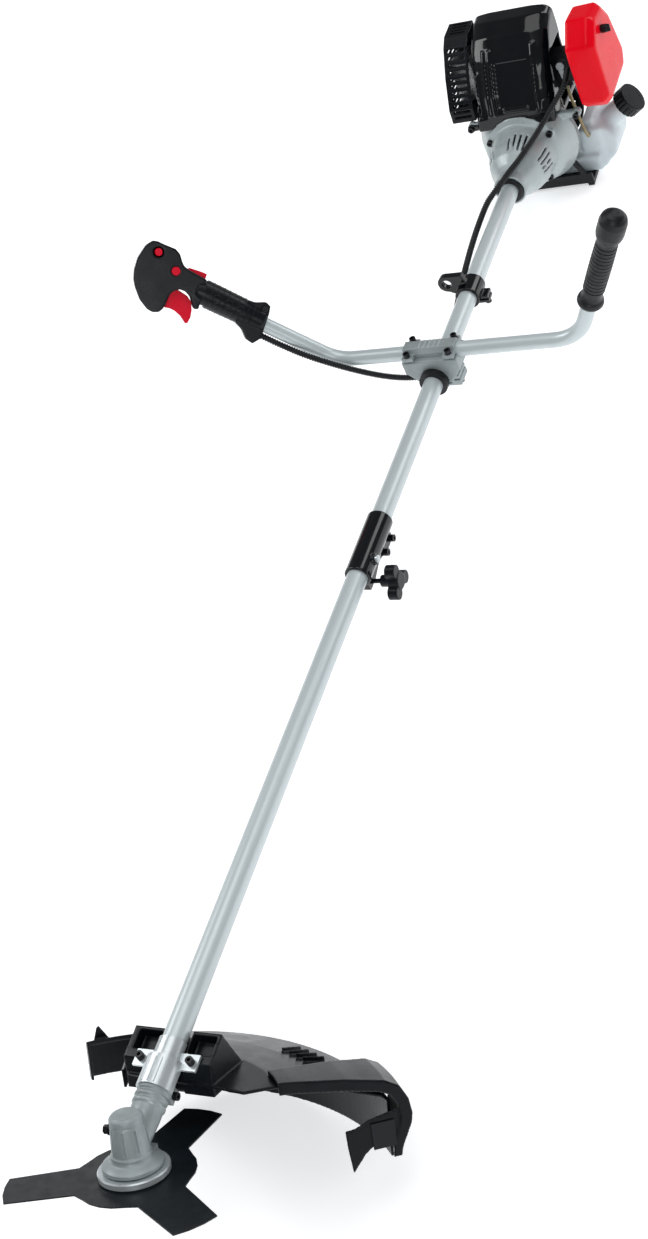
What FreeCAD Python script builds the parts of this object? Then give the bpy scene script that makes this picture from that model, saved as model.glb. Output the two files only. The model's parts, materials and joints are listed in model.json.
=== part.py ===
import FreeCAD, Part
import os
from math import sin, cos, tan, radians, pi, sqrt, atan2, degrees

os.makedirs("parts", exist_ok=True)
V = FreeCAD.Vector

# ---------------------------------------------------------------- driving dimensions (mm)
HEAD_ANGLE = 34.0        # angle between the tube axis and the blade plane
AXIS_UP = 25.4           # height of the tube/spindle crossing above the blade plane
TILT = 4.2               # the resting machine's tube dips this much towards the engine
TUBE_R = 13.0            # main tube, 26 mm
TUBE_RI = 11.5
SHAFT_R = 4.0            # drive shaft, 8 mm
FIT = 0.05               # running clearance on a radius
BLADE_R = 127.5          # 255 mm three-tooth blade
BLADE_T = 1.4
BORE_R = 12.7            # 25.4 mm blade bore
LOW_TUBE = (40.0, 800.0)
UP_TUBE = (801.5, 1530.0)
COUPLER = (749.0, 846.0)
EYE_X = (1267.0, 1300.0)
BAR_X, BAR_Z, BAR_R = 1122.0, 32.0, 10.0
BAR_LEAN = -7.2          # handlebar plane leans forward
RIGHT_BEND_Y, RIGHT_DIR = 138.0, (0.690, 0.724)      # throttle side, +Y
LEFT_BEND_Y, LEFT_DIR = -205.0, (-0.469, 0.883)      # plain grip side, -Y
BAR_BEND_R = 55.0
GUARD_R = 262.0
HOUSING_R = 74.5
CYL_X = 1676.0
BORE_CYL = 20.0
CABLE_R = 4.6

parts = {}

# ---------------------------------------------------------------- helpers
def box(x0, x1, y0, y1, z0, z1):
    return Part.makeBox(x1 - x0, y1 - y0, z1 - z0, V(x0, y0, z0))

def cyl(r, h, p, d):
    return Part.makeCylinder(r, h, V(*p), V(*d))

def ring(ro, ri, h, p, d):
    return cyl(ro, h, p, d).cut(cyl(ri, h, p, d))

def revx(prof):
    """closed (x, r) profile turned about the X axis"""
    w = Part.makePolygon([V(x, 0, r) for x, r in prof] + [V(prof[0][0], 0, prof[0][1])])
    return Part.Face(w).revolve(V(0, 0, 0), V(1, 0, 0), 360)

def revz(prof):
    w = Part.makePolygon([V(r, 0, z) for r, z in prof] + [V(prof[0][0], 0, prof[0][1])])
    return Part.Face(w).revolve(V(0, 0, 0), V(0, 0, 1), 360)

def prism(pts, vec):
    w = Part.makePolygon([V(*p) for p in pts] + [V(*pts[0])])
    return Part.Face(w).extrude(V(*vec))

def xz_prism(pts, y0, y1):
    return prism([(x, y0, z) for x, z in pts], (0, y1 - y0, 0))

def fuse(*s):
    a = s[0]
    for b in s[1:]:
        a = a.fuse(b)
    return a.removeSplitter()

def cut(a, *s):
    for b in s:
        a = a.cut(b)
    return a

def hexbar(af, h, p, d):
    r = af / 2 / cos(pi / 6)
    d = V(*d); d.normalize()
    u = V(0, 0, 1) if abs(d.z) < 0.9 else V(1, 0, 0)
    e1 = d.cross(u); e1.normalize(); e2 = d.cross(e1)
    P = V(*p)
    pts = [P + e1 * (r * cos(pi / 3 * i)) + e2 * (r * sin(pi / 3 * i)) for i in range(6)]
    return Part.Face(Part.makePolygon(pts + [pts[0]])).extrude(d * h)

def socket_bolt(p, d, r=2.5, length=20.0, head_r=4.25, head_h=5.0):
    """head stands on point p, its shank goes along -d"""
    d = V(*d); d.normalize(); P = V(*p)
    head = Part.makeCylinder(head_r, head_h, P, d)
    sh = Part.makeCylinder(r, length + 0.5, P - d * length, d)
    b = head.fuse(sh)
    hx = hexbar(4.0, 3.0, tuple(P + d * (head_h - 2.5)), tuple(d))
    return b.cut(hx)

def b2t(s):
    """blade frame (origin at the blade centre, +Z along the spindle) to tube frame"""
    s = s.copy()
    s.translate(V(0, 0, -AXIS_UP))
    s.rotate(V(0, 0, 0), V(0, 1, 0), HEAD_ANGLE)
    return s

# ================================================================ cutting head (blade frame)
spindle = fuse(cyl(5.0, 14.3, (0, 0, -15.0), (0, 0, 1)), cyl(6.0, 52.7, (0, 0, -0.7), (0, 0, 1)),
               cyl(4.0, 8.0, (0, 0, 52.0), (0, 0, 1)))
parts["spindle"] = b2t(spindle)

gear = revz([(6.0, 38.7), (8.0, 38.7), (12.9, 46.3), (11.5, 48.6), (9.0, 51.4), (6.0, 51.4)])
N_GEAR, N_PINION = 19, 14
for i in range(N_GEAR):
    a = 2 * pi * i / N_GEAR
    t = prism([(0, -0.35, 0), (0, -1.0, 1.6), (0, 1.0, 1.6), (0, 0.35, 0)], (14.0, 0, 0))
    t.rotate(V(0, 0, 0), V(0, 1, 0), -57.2)          # along the cone flank
    t = t.copy(); t.translate(V(8.0 - 2.2, 0, 38.7 - 1.9))
    t.rotate(V(0, 0, 0), V(0, 0, 1), degrees(a))
    gear = gear.cut(t)
# grooves are cut from the flank outward
parts["bevel_gear"] = b2t(gear)

pin = revx([(14.4, 4.0), (14.4, 5.9), (22.6, 9.5), (25.0, 8.0), (27.2, 6.0), (27.2, 4.0)])
for i in range(N_PINION):
    a = 360.0 * i / N_PINION
    t = prism([(13.0, -0.5, 4.7), (13.0, 0.5, 4.7), (25.0, 0.8, 9.4), (25.0, -0.8, 9.4)], (-1.2, 0, 2.7))
    t.rotate(V(0, 0, 0), V(1, 0, 0), a)
    pin = pin.cut(t)
parts["bevel_pinion"] = pin

parts["inner_flange"] = b2t(revz([(6.0, -0.5), (12.6, -0.5), (12.6, 0.7), (33.5, 0.7), (36.0, 2.6), (36.0, 7.6),
                                  (34.8, 8.8), (6.0, 8.8)]))
parts["outer_flange"] = b2t(revz([(5.0, -4.6), (14.0, -4.6), (26.0, -3.4), (30.0, -1.6), (30.0, -0.7), (12.9, -0.7),
                                  (12.9, -0.8), (5.0, -0.8)]))
nut = fuse(hexbar(17.0, 7.0, (0, 0, -13.2), (0, 0, 1)), cyl(12.0, 1.6, (0, 0, -6.2), (0, 0, 1)))
parts["blade_nut"] = b2t(cut(nut, cyl(5.0, 12.0, (0, 0, -14.0), (0, 0, 1))))

# three-tooth blade: hub disc with three straight-sided teeth
HUB_R = 60.0
pts = []
for k in range(3):
    base = radians(-1.0 + 120.0 * k)
    for ang, r in ((-36.0, HUB_R), (-24.0, 62.5), (-10.4, BLADE_R), (-3.5, BLADE_R * 1.008), (3.5, BLADE_R * 1.008),
                   (10.4, BLADE_R), (24.0, 62.5), (36.0, HUB_R), (48.0, HUB_R + 0.8), (60.0, HUB_R + 1.0), (72.0, HUB_R + 0.8)):
        a = base + radians(ang)
        pts.append(V(r * cos(a), r * sin(a), -BLADE_T / 2))
blade = Part.Face(Part.makePolygon(pts + [pts[0]])).extrude(V(0, 0, BLADE_T))
parts["cutting_blade"] = b2t(cut(blade, cyl(BORE_R, 6, (0, 0, -3), (0, 0, 1))))

# gear head casting
column = revz([(0, 9.6), (29.5, 9.6), (30.5, 11.0), (30.5, 14.0), (27.0, 16.0), (21.5, 18.5), (20.6, 20.5), (20.6, 24.0), (19.2, 25.2),
               (17.0, 54.5), (16.5, 56.0), (17.0, 57.2), (16.6, 61.4), (13.8, 64.2), (0, 64.8)])
column = b2t(column)
gusset = b2t(prism([(0, -20, 9.6), (29, -11, 9.6), (29, 11, 9.6), (0, 20, 9.6)], (0, 0, 9.0)))
neck = revx([(4, 0), (4, 14.5), (34, 16.2), (44, 16.2), (46, 17.5), (49, 17.5), (50, 16.2), (52, 16.2), (53, 17.5), (56, 17.5),
             (57, 16.2), (59, 16.2), (60, 17.5), (92, 17.5), (92, 0)])
lug = box(62, 78, -10, 10, -26, -12)
head = fuse(column, gusset, neck, lug)
inner = [b2t(cyl(8.2, 3.0, (0, 0, 9.5), (0, 0, 1))), b2t(cyl(16.0, 10.0, (0, 0, 12.0), (0, 0, 1))),
         b2t(cyl(14.4, 30.2, (0, 0, 21.9), (0, 0, 1))), b2t(cyl(11.0, 8.6, (0, 0, 52.0), (0, 0, 1))),
         cyl(11.5, 28.0, (0.5, 0, 0), (1, 0, 0)), cyl(11.0, 9.0, (28.0, 0, 0), (1, 0, 0)),
         cyl(9.0, 4.0, (36.5, 0, 0), (1, 0, 0)), cyl(TUBE_R, 53.0, (40.0, 0, 0), (1, 0, 0)),
         box(58, 93, -1.0, 1.0, -30, -12)]
head = cut(head, *inner)
plug_dir = V(-0.17, 0.985, 0)
plug_p = V(0, 0, 47.0) + plug_dir * 14.0
plug_bore = b2t(Part.makeCylinder(3.5, 6.0, V(0, 0, 47.0) + plug_dir * 14.2, plug_dir))
head = cut(head, plug_bore, cyl(2.6, 40, (70, -20, -20.5), (0, 1, 0)))
parts["gear_head_housing"] = head
parts["gear_head_bearings"] = Part.makeCompound([
    b2t(ring(16.0, 6.0 + FIT, 9.0, (0, 0, 12.4), (0, 0, 1))),
    b2t(ring(11.0, 4.0 + FIT, 7.6, (0, 0, 52.6), (0, 0, 1))),
    ring(11.0, 4.0 + FIT, 8.0, (28.2, 0, 0), (1, 0, 0))])

# ================================================================ guard (blade frame)
def rev_sector(prof, a0, a1):
    """(r, z) profile turned about the spindle axis between two bearings in degrees"""
    w = Part.makePolygon([V(r, 0, z) for r, z in prof] + [V(prof[0][0], 0, prof[0][1])])
    q = Part.Face(w).revolve(V(0, 0, 0), V(0, 0, 1), a1 - a0)
    q.rotate(V(0, 0, 0), V(0, 0, 1), a0)
    return q
def plan(r, deg):
    return (r * cos(radians(deg)), r * sin(radians(deg)))
def vplate(p, q, poly, t):
    """upright plate over the plan line p-q: poly holds (distance along it, height)"""
    dx, dy = q[0] - p[0], q[1] - p[1]
    L = sqrt(dx * dx + dy * dy); ux, uy = dx / L, dy / L
    return prism([(p[0] + ux * s_, p[1] + uy * s_, z) for s_, z in poly], (-uy * t, ux * t, 0))

GUARD_END, GUARD_LEFT = -50.0, 44.3      # bearings of the two ends of the skirt
SKIRT_Z = -48.0                          # lower edge of the skirt below the blade plane
# main shell: a hipped roof falling from the mounting block to the rim, then the skirt
roof_out = rev_sector([(70, 60.5), (150, 57), (200, 43), (255, 22), (GUARD_R, 15), (GUARD_R, SKIRT_Z), (70, SKIRT_Z)], -46.0, 33.0)
roof_in = rev_sector([(60, 57.5), (149.3, 54), (199, 40), (253.4, 19.2), (GUARD_R - 3, 13.6), (GUARD_R - 3, SKIRT_Z - 12), (60, SKIRT_Z - 12)], -60.0, 60.0)
left_clip = prism([(80, 58, -100), (212, 137, -100), (300, 195, -100), (300, -300, -100), (80, -300, -100)], (0, 0, 200))
main = roof_out.cut(roof_in).common(left_clip)
# the rim runs on to the left as a narrow shelf over a shallower skirt
left_out = rev_sector([(250, 26), (GUARD_R, 20), (GUARD_R, -21), (250, -21)], 31.0, GUARD_LEFT)
left_in = rev_sector([(240, 23), (GUARD_R - 3, 17.5), (GUARD_R - 3, -30), (240, -30)], 30.0, GUARD_LEFT - 0.7)
main = main.fuse(left_out.cut(left_in))
main.rotate(V(0, 0, 0), V(1, 0, 0), 2.5)
# raised band at the right end, its edge returned inwards
BAND = [(150, 59), (165, 57), (217, 47), (256, 37), (270, 28), (278, 12), (280, -4), (278, -14), (266, -38), (264, -47)]
band_out = rev_sector(BAND + [(150, -47)], GUARD_END, -37.0)
band_in = rev_sector([(140, 56.5), (164.4, 54), (216.4, 44), (254.6, 34.3), (267.8, 26.4), (275, 11.4), (277, -4), (275.2, -13.2), (263.0, -37.4), (261, -60), (140, -60)], GUARD_END - 5, -36.0)
edge_in = rev_sector([(140, 46.5), (163, 44.5), (213, 35.0), (249, 26.0), (259.5, 20.0), (266, 8.4), (267.5, -4), (266, -12.0), (257.0, -33.0), (254, -60), (140, -60)], GUARD_END - 5, -36.0)
edge = rev_sector(BAND + [(150, -47)], GUARD_END, GUARD_END + 0.7).cut(edge_in)
step = rev_sector(BAND + [(150, -47)], -37.7, -37.0).common(rev_sector([(150, 40), (200, 30), (262, 10), (290, 10), (290, 70), (150, 70)], -40.0, -30.0))
band = band_out.cut(band_in).fuse(edge).fuse(step)
# end fin with the seat for the line cutter, across the mouth of the skirt
u50 = plan(1.0, GUARD_END + 0.3)
fin = vplate((u50[0] * 210, u50[1] * 210), (u50[0] * 262, u50[1] * 262), [(0, -9), (11, -8), (25, -2), (56.5, 4), (56.5, -39), (42, -32), (28, -30), (18, -37), (3, -55), (0.5, -28)], 2.6)
# left wall of the block and the little upright fin on the left shelf
lw = vplate((84, 56.5), (214, 134), [(0, 62), (150, 27), (150, 2), (0, 42)], 3.0)
lfin = vplate(plan(257.0, 42.5), plan(257.0, 38.0), [(0, 19.5), (5, 36), (8, 38), (19, 19.5)], 2.4)
lfin.rotate(V(0, 0, 0), V(1, 0, 0), 2.5)
guard = fuse(b2t(main), b2t(band), b2t(fin), b2t(lw), b2t(lfin))
# mounting block under the tube, hollow from below, open pockets either side of the tube on top
tray = b2t(prism([(82, -50, 44), (165, -50, 44), (165, 53, 44), (82, 53, 44)], (0, 0, 80))).common(box(40, 133, -60, 60, -120, -2.0))
tray_in = b2t(prism([(85.5, -46.5, -60), (161, -46.5, -60), (161, 49.5, -60), (85.5, 49.5, -60)], (0, 0, 180))).common(box(40, 130, -60, 60, -200, -18.0))
guard = fuse(guard, tray)
guard = cut(guard, tray_in)
pock = [box(108, 129, 18, 46, -15, 0), box(108, 129, -46, -18, -15, 0)]
guard = cut(guard, cyl(19.9, 90, (20, 0, 0), (1, 0, 0)), cyl(16.6, 60, (100, 0, 0), (1, 0, 0)), *pock)
guard = cut(guard, box(50, 80.5, -14, 14, -40, 0))
# ribs pressed into the roof
for k in range(4):
    rb = rev_sector([(206, 30), (232, 25), (232, 33.5), (206, 43.2)], -27.5 + 3.2 * k, -27.2 + 3.2 * k)
    guard = fuse(guard, b2t(rb))
GUARD_BOLTS = [(97.0, 29.5), (97.0, -29.5)]
for x, y in GUARD_BOLTS:
    guard = cut(guard, cyl(2.5, 40, (x, y, -30), (0, 0, 1)))
print("guard solids", len(guard.Solids), [round(q.Volume) for q in guard.Solids])
guard = max(guard.Solids, key=lambda q: q.Volume)
parts["blade_guard"] = guard
v50 = (-u50[1], u50[0])
cutter = vplate((u50[0] * 236 - v50[0] * 1.6, u50[1] * 236 - v50[1] * 1.6), (u50[0] * 262 - v50[0] * 1.6, u50[1] * 262 - v50[1] * 1.6), [(0, -34), (0, -6), (24, -6), (24, -34)], 1.5)
line_cut = b2t(cutter).cut(parts["blade_guard"] if "blade_guard" in parts else Part.makeBox(1, 1, 1))
parts["line_cutter"] = line_cut

# saddle clamp that straps the guard to the gear head socket and tube
sad = fuse(revx([(63, 17.6), (63, 19.6), (93, 19.6), (93, 17.6)]), revx([(93, 13.2), (93, 19.6), (95.5, 19.6), (95.5, 15.4), (117, 15.4), (117, 13.2)]),
           box(88, 106, -37, 37, -1.9, 1.2))
sad = cut(sad, box(50, 130, -60, 60, -40, -1.9), cyl(17.6, 32, (61, 0, 0), (1, 0, 0)), cyl(13.2, 40, (90, 0, 0), (1, 0, 0)))
for yy in (-6.5, 0.0, 6.5):
    zz = sqrt(19.6 ** 2 - yy ** 2)
    sad = fuse(sad, cyl(1.2, 26, (65, yy, zz - 0.5), (1, 0, 0)))
for x, y in GUARD_BOLTS:
    sad = cut(sad, cyl(2.5, 40, (x, y, -30), (0, 0, 1)))
parts["guard_saddle_clamp"] = sad

plug = fuse(hexbar(8.0, 5.0, tuple(V(0, 0, 47.0) + plug_dir * 19.6), tuple(plug_dir)),
            Part.makeCylinder(5.6, 1.4, V(0, 0, 47.0) + plug_dir * 18.4, plug_dir),
            Part.makeCylinder(3.4, 4.6, V(0, 0, 47.0) + plug_dir * 14.2, plug_dir))
plug = b2t(plug).cut(head)
low_fast = [plug] + [socket_bolt((x, y, 1.2), (0, 0, 1), 2.45, 18, 4.25, 6.5) for x, y in GUARD_BOLTS]
low_fast.append(socket_bolt((70, -10.0, -20.5), (0, -1, 0), 2.5, 22, 4.25, 5))
parts["lower_fasteners"] = Part.makeCompound(low_fast)

# ================================================================ shafts and tubes
parts["lower_tube"] = ring(TUBE_R, TUBE_RI, LOW_TUBE[1] - LOW_TUBE[0], (LOW_TUBE[0], 0, 0), (1, 0, 0))
parts["lower_drive_shaft"] = fuse(cyl(SHAFT_R, 780.6, (14.4, 0, 0), (1, 0, 0)), cyl(3.4, 23, (795, 0, 0), (1, 0, 0)))
parts["lower_shaft_bushes"] = Part.makeCompound([ring(TUBE_RI, SHAFT_R + 0.1, 14, (x, 0, 0), (1, 0, 0)) for x in (120, 340, 560, 760)])
parts["upper_tube"] = ring(TUBE_R, TUBE_RI, UP_TUBE[1] - UP_TUBE[0], (UP_TUBE[0], 0, 0), (1, 0, 0))
ups = fuse(cyl(7.0, 28, (798, 0, 0), (1, 0, 0)), cyl(SHAFT_R, 724, (826, 0, 0), (1, 0, 0)))
parts["upper_drive_shaft"] = cut(ups, cyl(3.6, 24, (796, 0, 0), (1, 0, 0)))
rubbers = [ring(TUBE_RI, SHAFT_R + 0.1, 14, (x, 0, 0), (1, 0, 0)) for x in (880, 1110, 1340, 1500)]
rubbers.append(ring(19.4, TUBE_R, 9.0, (1092.5, 0, 0), (1, 0, 0)))          # damper at the handlebar clamp
rubbers.append(revx([(1505.5, 14.5), (1505.5, 19.0), (1508.0, 21.0), (1522.5, 21.0), (1522.5, 13.0), (1510, 13.0)]))   # collar isolator
rubbers.append(ring(16.0, 9.0 + FIT, 12, (1547, 0, 0), (1, 0, 0)))          # clutch drum bearing
parts["rubber_rings_and_bushes"] = Part.makeCompound(rubbers)

# coupler: split sleeve with two clamp lugs below
x0, x1 = COUPLER
sleeve = fuse(revx([(x0, TUBE_R + 0.02), (x0, 16.0), (x0 + 1, 16.6), (x1 - 1, 16.6), (x1, 16.0), (x1, TUBE_R + 0.02)]),
              xz_prism([(x0 + 1, -12), (x0 + 1, -24), (x0 + 4, -28), (x0 + 22, -28), (x0 + 44, -22), (x0 + 56, -24), (x0 + 66, -30),
                        (x1 - 8, -30), (x1 - 2, -25), (x1 - 2, -12)], -7.5, 7.5))
sleeve = cut(sleeve, cyl(TUBE_R + 0.02, x1 - x0, (x0, 0, 0), (1, 0, 0)), box(x0 - 1, x1 + 1, -1.0, 1.0, -40, -10))
KNOB_X, KNOB_Z = 762.0, -21.5
CB = [(835.0, -22.5), (811.0, -22.5)]
PIN_DIR = V(0, -0.985, 0.174)
sleeve = cut(sleeve, cyl(3.1, 40, (KNOB_X, -20, KNOB_Z), (0, 1, 0)), *[cyl(2.5, 40, (x, -20, z), (0, 1, 0)) for x, z in CB])
pin_boss = Part.makeCylinder(7.0, 6.0, V(775.0, 0, 0) + PIN_DIR * 12.5, PIN_DIR)
sleeve = fuse(sleeve, pin_boss.cut(cyl(TUBE_R + 0.02, 60, (750, 0, 0), (1, 0, 0))))
sleeve = cut(sleeve, Part.makeCylinder(3.1, 30, V(775.0, 0, 0) + PIN_DIR * 5, PIN_DIR))
parts["coupler_sleeve"] = sleeve
lp = fuse(Part.makeCylinder(3.0, 9.0, V(775.0, 0, 0) + PIN_DIR * 13.3, PIN_DIR), Part.makeCylinder(4.6, 2.6, V(775.0, 0, 0) + PIN_DIR * 19.4, PIN_DIR))
parts["lock_pin"] = lp
knob = fuse(cyl(3.0, 34, (KNOB_X, -34, KNOB_Z), (0, 1, 0)), cyl(7.5, 12, (KNOB_X, -33, KNOB_Z), (0, 1, 0)), cyl(11.0, 15, (KNOB_X, -47, KNOB_Z), (0, 1, 0)))
for k in range(3):
    a = radians(90 + 120 * k)
    knob = fuse(knob, cyl(8.5, 13, (KNOB_X + 15.5 * cos(a), -46, KNOB_Z + 15.5 * sin(a)), (0, 1, 0)))
parts["star_knob"] = knob

# harness eye
EYE_C = (25.5, 17.5)
eye = fuse(revx([(EYE_X[0], TUBE_R), (EYE_X[0], 17.4), (EYE_X[1], 17.4), (EYE_X[1], TUBE_R)]),
           cyl(13.0, 9.0, (1279.5, EYE_C[0] + 3, EYE_C[1]), (1, 0, 0)),
           prism([(1279.5, 0, 17.2), (1279.5, 4, 30.0), (1279.5, 28, 30.4), (1279.5, 33, 6.5), (1279.5, 16, -2)], (9.0, 0, 0)),
           box(1274, 1292, -26, -10, -16, -4))
eye = cut(eye, cyl(TUBE_R, 60, (1250, 0, 0), (1, 0, 0)), cyl(6.5, 20, (1275, EYE_C[0] + 3, EYE_C[1]), (1, 0, 0)),
          box(1266, 1301, -30, -12.2, -11.0, -9.0), cyl(2.5, 30, (1283, -21, -20), (0, 0, 1)))
parts["harness_eye"] = eye

# handlebar and its clamp
lean = radians(BAR_LEAN)
UP = V(sin(lean), 0, cos(lean))
P0 = V(BAR_X, 0, BAR_Z)
def bar_pt(y, w):
    return P0 + V(0, y, 0) + UP * w
RD = V(0, RIGHT_DIR[0], 0) + UP * RIGHT_DIR[1]; RD.normalize()
LD = V(0, LEFT_DIR[0], 0) + UP * LEFT_DIR[1]; LD.normalize()
vR, vL = bar_pt(RIGHT_BEND_Y, 0), bar_pt(LEFT_BEND_Y, 0)
R_LEN, L_LEN = 196.0, 210.0
eR, eL = vR + RD * R_LEN, vL + LD * L_LEN

def round_path(P, radii):
    edges = []; cur = P[0]
    for i in range(1, len(P) - 1):
        a, b, c = P[i - 1], P[i], P[i + 1]
        d1 = (b - a); d1.normalize(); d2 = (c - b); d2.normalize()
        turn = d1.getAngle(d2)
        if turn < 1e-4:
            continue
        r = radii[i - 1]
        t = r * tan(turn / 2)
        s, e = b - d1 * t, b + d2 * t
        n = d1.cross(d2); n.normalize()
        m = n.cross(d1)                      # toward the centre
        cen = s + m * r
        h = (b - cen); h.normalize()
        mid = cen + h * r
        if (s - cur).Length > 1e-6:
            edges.append(Part.LineSegment(cur, s).toShape())
        edges.append(Part.Arc(s, mid, e).toShape())
        cur = e
    edges.append(Part.LineSegment(cur, P[-1]).toShape())
    return Part.Wire(edges)

def pipe(P, radii, r):
    w = round_path(P, radii)
    d = P[1] - P[0]; d.normalize()
    c = Part.Wire([Part.makeCircle(r, P[0], d)])
    s = w.makePipeShell([c], True, False)
    return s, w

def hollow_pipe(P, radii, ro, ri):
    a, w = pipe(P, radii, ro)
    b, _ = pipe(P, radii, ri)
    return a.cut(b)

barP = [eL, vL, vR, eR]
parts["handlebar"] = hollow_pipe(barP, [BAR_BEND_R, BAR_BEND_R], BAR_R, BAR_R - 1.6)

mx0, mx1 = 1102.0, 1142.0
mount = fuse(xz_prism([(mx0, 12), (mx0, 30), (mx0 + 2, BAR_Z - 0.4), (mx1 - 2, BAR_Z - 0.4), (mx1, 30), (mx1, 12)], -40, 38),
             revx([(mx0, TUBE_R), (mx0, 20.5), (mx1, 20.5), (mx1, TUBE_R)]),
             prism([(mx0, -40, 14), (mx0, 38, 14), (mx0, 15, -12), (mx0, -19, -12)], (mx1 - mx0, 0, 0)),
             box(mx0 + 6, mx1 - 6, -31, -12, -18, -2))
mount = cut(mount, cyl(TUBE_R, 60, (1090, 0, 0), (1, 0, 0)), cyl(BAR_R, 120, (BAR_X, -60, BAR_Z), (0, 1, 0)),
            box(mx0 - 1, mx1 + 1, -40, -12.4, -9.0, -7.0))
cap = fuse(xz_prism([(mx0, BAR_Z + 0.4), (mx0, BAR_Z + 6.5), (mx0 + 9.4, BAR_Z + 6.5), (mx0 + 12, BAR_Z + 13.2), (mx1 - 12, BAR_Z + 13.2), (mx1 - 9.4, BAR_Z + 6.5),
                     (mx1, BAR_Z + 6.5), (mx1, BAR_Z + 0.4)], -38, 36))
for i in range(5):
    y = -14 + 7 * i
    cap = fuse(cap, box(mx0 + 13, mx1 - 13, y - 1.2, y + 1.2, BAR_Z + 12, BAR_Z + 14.4))
cap = cut(cap, cyl(BAR_R, 120, (BAR_X, -60, BAR_Z), (0, 1, 0)),
          *[box(x, x + 10.5, -22, 20, BAR_Z - 1, BAR_Z + 16) for x in (mx0 - 1, mx1 - 9.5)])
HB = [(x, y) for x in (mx0 + 4.6, mx1 - 4.6) for y in (-30.5, 28.5)]
for x, y in HB:
    h = cyl(2.5, 40, (x, y, 10), (0, 0, 1)); mount = cut(mount, h); cap = cut(cap, h)
low_hole = cyl(2.5, 40, (BAR_X, -24.5, -25), (0, 0, 1))
mount = cut(mount, low_hole)
parts["handlebar_mount"] = mount
parts["handlebar_cap"] = cap

# plain grip, turned about its own axis
def rev_axis(prof, p, d):
    """(a, r) profile turned about the axis through p along d"""
    s = revz([(r, a) for a, r in prof])
    rot = FreeCAD.Rotation(V(0, 0, 1), d)
    s.Placement = FreeCAD.Placement(p, rot)
    return s
grip = rev_axis([(66, BAR_R), (66, 12.5), (68, 15.5), (72, 17.2), (77, 16.2), (80, 13.6), (86, 12.8), (100, 13.3), (130, 13.9), (160, 13.5), (178, 13.1),
                 (184, 14.2), (188, 16.2), (194, 17.4), (212, 17.4), (219, 15.6), (224, 10.5), (226, 5.0), (226, 0), (210, 0), (210, BAR_R)], vL, LD)
parts["plain_grip"] = grip

# ================================================================ throttle handle
TA = RD
TN = V(-0.6824, -0.5683, 0.4597)
TN = TN - TA * TN.dot(TA); TN.normalize()
TD = TN.cross(TA); TD.normalize()
T0 = vR + RD * 111.6
def th(a, d, n=0.0):
    return T0 + TA * a + TD * d + TN * n
def th_prism(pts, n0, n1):
    w = Part.makePolygon([th(a, d, n0) for a, d in pts] + [th(pts[0][0], pts[0][1], n0)])
    return Part.Face(w).extrude(TN * (n1 - n0))
def th_cyl(a, d, r, n0, n1):
    return Part.makeCylinder(r, n1 - n0, th(a, d, n0), TN)

outline = [(94, -20.5), (110, -21.5), (122, -22.5), (128, -24), (132.7, -28), (139.1, -35.5), (147, -39.2), (163.7, -38.2), (172, -38.3), (178.5, -36.5), (184.5, -27), (187.6, -8), (185.5, 8),
           (181, 20), (175, 28.5), (163, 40.5), (149, 47.8), (141, 48.2), (133.5, 44.5), (130.2, 38), (130.2, 20), (128, 12.5), (121, 6), (112, 5.5), (104, 9), (97, 18), (93, 21.5), (88, 19)]
headblk = th_prism(outline, -15, 15)
body_prof = [(0, 0), (0, 14.5), (3, 16.5), (20, 16.8), (30, 17.6), (60, 18.0), (90, 18.4), (100, 17.0), (100, 0)]
gripb = rev_axis(body_prof, T0 + TD * (-3.2), TA)
flare = th_prism([(0, -15), (2.6, -25), (10, -27.7), (22, -21.5), (34, -19.5), (36, 14.5), (25, 18.5), (14, 28), (4, 29.6), (-3.4, 19)], -12.5, 12.5)
thb = fuse(gripb, headblk, flare)
slot_t = th_prism([(86, -8), (142, -8), (142, 16), (131, 27), (131, 60), (84, 60), (84, 8)], -8.2, 8.2)
slot_l = th_prism([(90, -34), (126.5, -34), (132, -12), (132, -9.5), (92, -9.5)], -6.2, 6.2)
bar_bore = Part.makeCylinder(BAR_R, R_LEN - 111.6 + 4.6, T0 - TA * 4.6, TA)
cable_bore = Part.makeCylinder(CABLE_R, 24, th(-6, 15.2), TA)
TRIG_P, LOCK_P = (137.0, 3.0), (127.5, -15.5)
HT_P, SW_P = (131.5, -14.7), (165.9, -26.0)
thb = cut(thb, slot_t, slot_l, bar_bore, cable_bore)
rear_half = thb.common(th_prism([(-20, -60), (200, -60), (200, 60), (-20, 60)], -30, -0.0))
front_half = thb.common(th_prism([(-20, -60), (200, -60), (200, 60), (-20, 60)], 0.0, 30))
# recess and bores for the buttons in the visible half
front_half = cut(front_half, th_cyl(HT_P[0] + 4, HT_P[1] + 1.5, 3.6, 4.0, 20), th_cyl(SW_P[0], SW_P[1], 5.3, 6.0, 20))
for a, d in ((7.5, -12.7),):
    front_half = cut(front_half, th_cyl(a, d - 6, 2.2, -20, 20), th_cyl(a, d - 6, 4.6, 9.5, 20))
    rear_half = cut(rear_half, th_cyl(a, d - 6, 2.2, -20, 20))
pins = [th_cyl(TRIG_P[0], TRIG_P[1], 2.0, -13, 13), th_cyl(LOCK_P[0] + 0.5, LOCK_P[1], 1.6, -11, 11)]
front_half = cut(front_half, *pins); rear_half = cut(rear_half, *pins)
parts["throttle_housing_front"] = front_half
parts["throttle_housing_rear"] = rear_half
trig_poly = [(139.5, 0.5), (139.8, 6), (131.0, 12.0), (130.0, 20.0), (129.4, 36), (122, 34.2), (114.6, 34.5), (105, 37.5), (95.5, 43.5), (93.0, 41.5), (92.6, 33), (95, 24), (100, 14.5), (108, 9.5), (122, 7.5), (130, 2.0), (134, -0.2)]
trigger = th_prism(trig_poly, -7.2, 7.2)
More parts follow.
